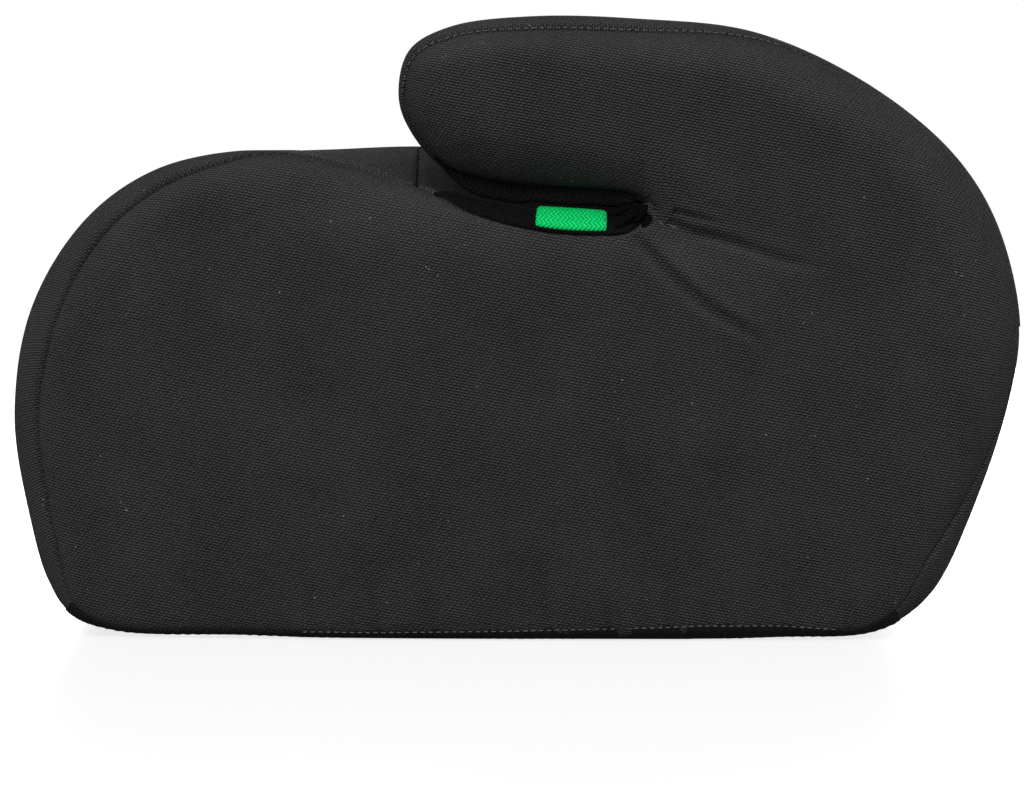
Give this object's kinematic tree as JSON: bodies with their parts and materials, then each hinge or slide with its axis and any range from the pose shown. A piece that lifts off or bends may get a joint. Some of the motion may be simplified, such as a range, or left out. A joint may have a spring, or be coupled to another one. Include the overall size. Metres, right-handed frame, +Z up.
{
  "type": "booster seat",
  "caption": "Backless child booster seat in black woven fabric with two hook-shaped armrests, bound and lined lap-belt slots under them and a green belt marker in each slot.",
  "frame": {"origin": "centre of the footprint on the floor", "axes": "-Y is the front, where the thighs rest, +X is the seated child's left, +Z is up"},
  "size_m": [0.41, 0.3907, 0.2353],
  "materials": {
    "cover_fabric": "matte black coarse woven polyester, foam-backed",
    "elastic_tape": "matte black ribbed elastic",
    "binding_tape": "matte black binding tape",
    "marker_green": "bright green woven webbing",
    "body_foam": "dark grey expanded bead foam",
    "pad_foam": "off-white soft foam",
    "plastic": "black polypropylene",
    "rod_steel": "plain drawn steel"
  },
  "bodies": {
    "root": {"foam_body": "body_foam", "steel_rod": "rod_steel", "rod_cap_left": "plastic", "rod_cap_right": "plastic", "belt_guide_left": "plastic", "belt_guide_right": "plastic", "seat_pad": "pad_foam", "arm_pad_left": "pad_foam", "arm_pad_right": "pad_foam", "cover_front": "cover_fabric", "cover_seat": "cover_fabric", "cover_rear": "cover_fabric", "cover_side_left": "cover_fabric", "cover_side_right": "cover_fabric", "cover_arm_left": "cover_fabric", "cover_arm_right": "cover_fabric", "hem_elastic": "elastic_tape", "slot_binding_left": "binding_tape", "slot_binding_right": "binding_tape", "slot_lining_left": "binding_tape", "slot_lining_right": "binding_tape", "belt_marker_left": "marker_green", "belt_marker_right": "marker_green"}
  },
  "joints": []
}
